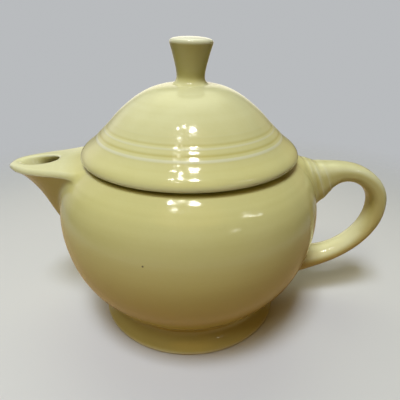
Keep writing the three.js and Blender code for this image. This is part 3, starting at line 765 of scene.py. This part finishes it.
def glaze(name, low=False, foot_edge=False, lid=False, free=False):
    mat = bpy.data.materials.new(name)
    mat.use_nodes = True
    n = Nodes(mat.node_tree)
    out = n.add("ShaderNodeOutputMaterial")
    place = n.add("ShaderNodeTexCoord").outputs["Object"]
    mm = n.add("ShaderNodeVectorMath", {0: place, 1: (1000, 1000, 1000)}, operation="MULTIPLY").outputs[0]
    axis = n.add("ShaderNodeVectorMath", {0: mm, 1: (-AXIS[0], -AXIS[1], 0)}, operation="ADD").outputs[0]
    xyz = n.add("ShaderNodeSeparateXYZ", {0: axis})
    x, y, z = xyz.outputs
    radius = n.math("SQRT", n.math("ADD", n.math("MULTIPLY", x, x), n.math("MULTIPLY", y, y)))
    bend = n.add("ShaderNodeAttribute", attribute_name="bend", attribute_type="GEOMETRY").outputs["Fac"]

    # Slow drifts of glaze depth: broad clouds, and fine bands that follow the turning of the clay.
    clouds = n.add("ShaderNodeTexNoise", {"Vector": axis, "Scale": 0.028, "Detail": 3.0, "Roughness": 0.5}, noise_dimensions="3D").outputs["Fac"]
    band_vec = n.add("ShaderNodeCombineXYZ", {0: n.math("MULTIPLY", radius, 0.30), 1: n.math("MULTIPLY", z, 0.36), 2: n.math("MULTIPLY", x, 0.006)}).outputs[0]
    bands = n.add("ShaderNodeTexNoise", {"Vector": band_vec, "Scale": 1.0, "Detail": 2.5, "Roughness": 0.55}).outputs["Fac"]
    fine = n.add("ShaderNodeTexNoise", {"Vector": axis, "Scale": 0.55, "Detail": 3.0, "Roughness": 0.6}).outputs["Fac"]

    depth = n.math("MULTIPLY_ADD", n.math("SUBTRACT", clouds, 0.5), 0.55, 0.22)
    depth = n.math("ADD", depth, n.math("MULTIPLY", n.math("SUBTRACT", bands, 0.5), 0.20))
    depth = n.math("ADD", depth, n.math("MULTIPLY", n.math("SUBTRACT", fine, 0.5), 0.10))
    groove = n.span(n.math("MULTIPLY", bend, -1.0), 0.02, 0.34)
    depth = n.math("ADD", depth, n.math("MULTIPLY", groove, 0.70))
    depth = n.span(depth, 0.0, 1.0, smooth=False)
    base = PALE
    # Painted light and shade: faces turned up are drawn paler and faces turned down darker, as light from above would
    # make them; on spout and handle only away from the pot.
    if lid or free:
        facing = n.add("ShaderNodeSeparateXYZ", {0: n.add("ShaderNodeNewGeometry").outputs["Normal"]}).outputs[2]
        painted_top_light = n.span(facing, 0.15, 0.85)
        if free:
            painted_top_light = n.span(facing, -0.05, 0.62)
            painted_top_light = n.math("MULTIPLY", painted_top_light, n.add("ShaderNodeAttribute", attribute_name="free", attribute_type="GEOMETRY").outputs["Fac"])
        else:
            painted_top_light = n.math("MULTIPLY", painted_top_light, n.span(z, 98.0, 128.0, 0.0, 0.88))
        base = n.mix(painted_top_light, n.mix(n.span(facing, 0.25, -0.15), PALE, (0.600, 0.540, 0.215)), PAINTED_TOP_LIGHT)
    colour = n.mix(depth, base, DEEP)
    if lid:
        # The flat top of the knob painted almost white: a painted reflection of the pale wall on the face turned up.
        knob_top_painted_reflection = n.math("MULTIPLY", n.span(z, 150.5, 153.5), n.span(facing, 0.55, 0.95))
        colour = n.mix(n.math("MULTIPLY", knob_top_painted_reflection, 0.85), colour, (0.985, 0.965, 0.740))
    if low:
        # Darker towards the bottom: partly glaze run heavier down the belly, partly painted shade; less of it on upward
        # faces of spout and handle.
        runs = n.math("MULTIPLY", n.math("SUBTRACT", clouds, 0.5), 18.0)
        height = n.math("ADD", z, runs)
        heavy_glaze_and_shade = n.span(height, 88.0, 22.0)
        weight = n.math("MULTIPLY", heavy_glaze_and_shade, 0.36 if foot_edge else 0.90)
        if free:
            weight = n.math("MULTIPLY", weight, n.math("SUBTRACT", 1.0, n.math("MULTIPLY", painted_top_light, 0.9)))
        colour = n.mix(weight, colour, LOW_GLAZE_AND_SHADE)
    crest = n.span(n.math("ADD", bend, n.math("MULTIPLY", n.math("SUBTRACT", fine, 0.5), 0.03)), 0.08, 0.42)
    colour = n.mix(n.math("MULTIPLY", crest, 0.75), colour, THIN)

    # Sparse iron specks, and the odd pinhole.
    cells = n.add("ShaderNodeTexVoronoi", {"Vector": n.add("ShaderNodeVectorMath", {0: axis, 1: (37.0, 11.0, 5.0)}, operation="ADD").outputs[0], "Scale": 0.085, "Randomness": 1.0}, voronoi_dimensions="3D", feature="F1")
    speck = n.span(cells.outputs["Distance"], 0.022, 0.045, 1.0, 0.0)
    keep = n.math("GREATER_THAN", n.add("ShaderNodeSeparateColor", {0: cells.outputs["Color"]}).outputs[0], 0.985)
    speck = n.math("MULTIPLY", speck, keep)
    colour = n.mix(n.math("MULTIPLY", speck, 0.45), colour, (0.20, 0.13, 0.05))
    if free:
        # Painted shade deep in the spout's bore.
        painted_bore_shade = n.add("ShaderNodeAttribute", attribute_name="bore_shade", attribute_type="GEOMETRY").outputs["Fac"]
        colour = n.mix(n.math("MULTIPLY", painted_bore_shade, 0.88), colour, (0.060, 0.040, 0.012))
    if low:
        hole = n.add("ShaderNodeVectorMath", {0: axis, 1: PINHOLE}, operation="DISTANCE").outputs["Value"]
        colour = n.mix(n.span(hole, 0.35, 0.62, 0.85, 0.0), colour, (0.07, 0.045, 0.02))

    rough = n.span(fine, 0.3, 0.7, 0.075, 0.125)
    rough = n.math("ADD", rough, n.math("MULTIPLY", crest, 0.06))
    if foot_edge:
        bare = n.span(n.math("ADD", z, n.math("MULTIPLY", n.math("SUBTRACT", fine, 0.5), 0.5)), 0.30, 0.55, 1.0, 0.0)
        grit = n.add("ShaderNodeTexNoise", {"Vector": axis, "Scale": 2.4, "Detail": 4.0}).outputs["Fac"]
        clay = n.mix(grit, (0.60, 0.52, 0.40), CLAY)
        colour = n.mix(bare, colour, clay)
        rough = n.math("ADD", rough, n.math("MULTIPLY", bare, 0.7), clamp=True)
    # Orange peel of the fired glaze.
    peel = n.add("ShaderNodeTexNoise", {"Vector": axis, "Scale": 0.16, "Detail": 2.0, "Roughness": 0.45}).outputs["Fac"]
    pores = n.add("ShaderNodeTexNoise", {"Vector": axis, "Scale": 0.9, "Detail": 2.0}).outputs["Fac"]
    height = n.math("ADD", n.math("MULTIPLY", peel, 1.0), n.math("MULTIPLY", pores, 0.06))
    bump = n.add("ShaderNodeBump", {"Height": height, "Strength": 1.0, "Distance": 0.00009}).outputs[0]
    shader = n.add("ShaderNodeBsdfPrincipled", {"Base Color": colour, "Roughness": rough, "IOR": 1.52, "Normal": bump, "Specular IOR Level": 0.5})
    mat.node_tree.links.new(shader.outputs[0], out.inputs[0])
    return mat


a = math.radians(-16)
PINHOLE = (72.3 * math.sin(a), -72.3 * math.cos(a), 70.3)
glaze_pot = glaze("glaze_pot", low=True)
glaze_foot = glaze("glaze_foot", low=True, foot_edge=True)
glaze_lid = glaze("glaze_lid", lid=True)
glaze_trim = glaze("glaze_trim", low=True, free=True)

for ob, body, node, mat, slot in [
    (pot_body, "pot", "pot_body", glaze_pot, "glaze_pot"),
    (foot, "pot", "foot_ring", glaze_foot, "glaze_foot"),
    (spout, "pot", "spout", glaze_trim, "glaze_pot"),
    (handle, "pot", "handle", glaze_trim, "glaze_pot"),
    (dome, "lid", "lid_dome", glaze_lid, "glaze_lid"),
    (flange, "lid", "lid_flange", glaze_lid, "glaze_lid"),
    (knob, "lid", "lid_knob", glaze_lid, "glaze_lid"),
]:
    ob.data.materials.clear()
    ob.data.materials.append(mat)
    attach(ob, body)
    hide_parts(node)

# ---------------------------------------------------------------- floor, light and camera
me = bpy.data.meshes.new("floor")
S = 6.0
me.from_pydata([(-S, -S, 0), (S, -S, 0), (S, S, 0), (-S, S, 0)], [], [(0, 1, 2, 3)])
floor = bpy.data.objects.new("floor", me)
floor.location.z = -0.00005
bpy.context.scene.collection.objects.link(floor)
mat = bpy.data.materials.new("floor")
mat.use_nodes = True
n = Nodes(mat.node_tree)
out = n.add("ShaderNodeOutputMaterial")
place = n.add("ShaderNodeTexCoord").outputs["Object"]
away = n.add("ShaderNodeVectorMath", {0: n.add("ShaderNodeVectorMath", {0: place, 1: (-AXIS[0] / 1000, 0, 0)}, operation="ADD").outputs[0]}, operation="LENGTH").outputs["Value"]
far = n.span(away, 0.15, 0.32)
# Painted shade: the warm floor that the glaze sees is drawn darker towards the right.
side = n.span(n.add("ShaderNodeSeparateXYZ", {0: place}).outputs[0], 0.03, 0.20, 0.0, 1.0)
near = n.mix(side, (0.52, 0.375, 0.210), (0.395, 0.278, 0.150))
shade = n.mix(far, near, (0.50, 0.50, 0.51))
# Seen directly the floor is plain and pale; its warm tone is only what the glaze picks up from below.
shade = n.mix(n.add("ShaderNodeLightPath").outputs["Is Camera Ray"], shade, n.mix(far, (0.690, 0.685, 0.675), (0.600, 0.610, 0.620)))
shader = n.add("ShaderNodeBsdfPrincipled", {"Base Color": shade, "Roughness": 0.55, "Specular IOR Level": 0.3})
open_ = n.add("ShaderNodeBsdfTransparent")
both = n.add("ShaderNodeMixShader", {0: n.span(away, 0.22, 0.42), 1: shader.outputs[0], 2: open_.outputs[0]})
mat.node_tree.links.new(both.outputs[0], out.inputs[0])
me.materials.append(mat)

GLOWS = [((0.0, 1.0, 0.03), 18, (1.15, 1.08, 0.90)), ((0.0, 0.53, 0.85), 22, (1.25, 1.28, 0.90)), ((-0.71, 0.71, 0.03), 18, (0.38, 0.34, 0.36)),
         ((0.0, -0.53, 0.85), 22, (0.62, 0.34, 0.03)), ((-0.62, 0.62, 0.47), 22, (0.51, 0.50, 0.46)), ((0.71, 0.71, 0.03), 18, (0.38, 0.30, 0.15))]
world = bpy.data.worlds.new("studio")
bpy.context.scene.world = world
world.use_nodes = True
n = Nodes(world.node_tree)
out = n.add("ShaderNodeOutputWorld")
direction = n.add("ShaderNodeTexCoord").outputs["Generated"]
dx, dy, dz = n.add("ShaderNodeSeparateXYZ", {0: direction}).outputs
# A pale wall and ceiling glow behind the pot; the rest of the room is dim and warm.
sky = n.mix(n.span(dz, -0.6, 0.5), (0.014, 0.010, 0.005), (0.012, 0.011, 0.010))
for toward, width, glow in GLOWS:
    unit = math.sqrt(sum(c * c for c in toward))
    dot = n.add("ShaderNodeVectorMath", {0: direction, 1: tuple(c / unit for c in toward)}, operation="DOT_PRODUCT").outputs["Value"]
    patch = n.span(dot, math.cos(math.radians(width + 9)), math.cos(math.radians(width - 9)))
    patch = n.add("ShaderNodeVectorMath", {0: glow, "Scale": patch}, operation="SCALE").outputs[0]
    sky = n.add("ShaderNodeVectorMath", {0: sky, 1: patch}, operation="ADD").outputs[0]
light_path = n.add("ShaderNodeLightPath")
lit = n.add("ShaderNodeBackground", {"Color": sky, "Strength": 1.0})
seen = n.add("ShaderNodeBackground", {"Color": (0.485, 0.50, 0.515, 1), "Strength": 1.0})
both = n.add("ShaderNodeMixShader", {0: light_path.outputs["Is Camera Ray"], 1: lit.outputs[0], 2: seen.outputs[0]})
world.node_tree.links.new(both.outputs[0], out.inputs[0])

from mathutils import Matrix, Vector

CENTRE = Vector((AXIS[0] / 1000, 0, 0.09))


def panel(name, direction, distance, width, height, radiance, colour=(1, 1, 1)):
    d = Vector(direction).normalized()
    light = bpy.data.lights.new(name, "AREA")
    light.shape = "RECTANGLE"
    light.size, light.size_y = width, height
    light.energy = radiance * math.pi * width * height
    light.color = colour
    ob = bpy.data.objects.new(name, light)
    ob.location = CENTRE + d * distance
    ob.rotation_euler = d.to_track_quat("Z", "Y").to_euler()
    bpy.context.scene.collection.objects.link(ob)
    return ob


for name, d, w, hgt, power_, tint in [
    ("softbox_top", (-0.12, -0.32, 0.94), 0.36, 0.32, 29.6, (0.90, 1.0, 1.16)),
    ("softbox_front", (-0.22, -0.55, 0.80), 0.32, 0.32, 8.3, (0.99, 1.0, 0.85)),
]:
    panel(name, d, 1.3, w, hgt, power_, tint).visible_glossy = False
for i, (d, w, hgt, power_) in enumerate([
    ((-0.195, -0.180, 0.965), 0.055, 0.05, 60),
    ((-0.095, -0.155, 0.985), 0.055, 0.045, 60),
    ((0.035, -0.170, 0.980), 0.08, 0.03, 70),
    ((0.050, -0.243, 0.965), 0.13, 0.075, 70),
    ((-0.165, -0.345, 0.92), 0.07, 0.04, 40),
]):
    panel("panel_%d" % i, d, 1.25, w, hgt, power_).visible_diffuse = False

# Two slats of a far lamp, seen only as thin dashes in the gloss of the belly.
for i, (a, b, thick, radiance) in enumerate([
    ((0.606, -0.401, 0.687), (0.778, -0.276, 0.564), 0.026, 17),
    ((0.480, -0.771, 0.420), (0.617, -0.686, 0.384), 0.020, 12),
]):
    a, b = Vector(a), Vector(b)
    slat = panel("slat_%d" % i, (a + b) / 2, 1.25, (b - a).length * 1.25, thick, radiance)
    back = ((a + b) / 2).normalized()
    across = (b - a - (b - a).dot(back) * back).normalized()
    slat.rotation_euler = Matrix((across, back.cross(across), back)).transposed().to_euler()
    slat.visible_diffuse = False

cam_data = bpy.data.cameras.new("camera")
cam_data.sensor_width = 36.0
cam_data.lens = 370.05 * 36 / 400
cam_data.clip_start = 0.005
camera = bpy.data.objects.new("camera", cam_data)
bpy.context.scene.collection.objects.link(camera)
pitch, yaw, roll = 0.4482170, -0.0315137, -0.0049274
forward = Vector((-math.sin(yaw) * math.cos(pitch), math.cos(yaw) * math.cos(pitch), -math.sin(pitch)))
right = Vector((math.cos(yaw), math.sin(yaw), 0))
up = right.cross(forward)
r2 = right * math.cos(roll) - up * math.sin(roll)
u2 = right * math.sin(roll) + up * math.cos(roll)
m = Matrix((r2, u2, -forward)).transposed().to_4x4()
m.translation = Vector((AXIS[0] / 1000, -0.19762, 0.16276))
camera.matrix_world = m
bpy.context.scene.camera = camera
bpy.context.scene.view_settings.view_transform = "Standard"
bpy.context.scene.view_settings.look = "None"

bpy.context.view_layer.update()
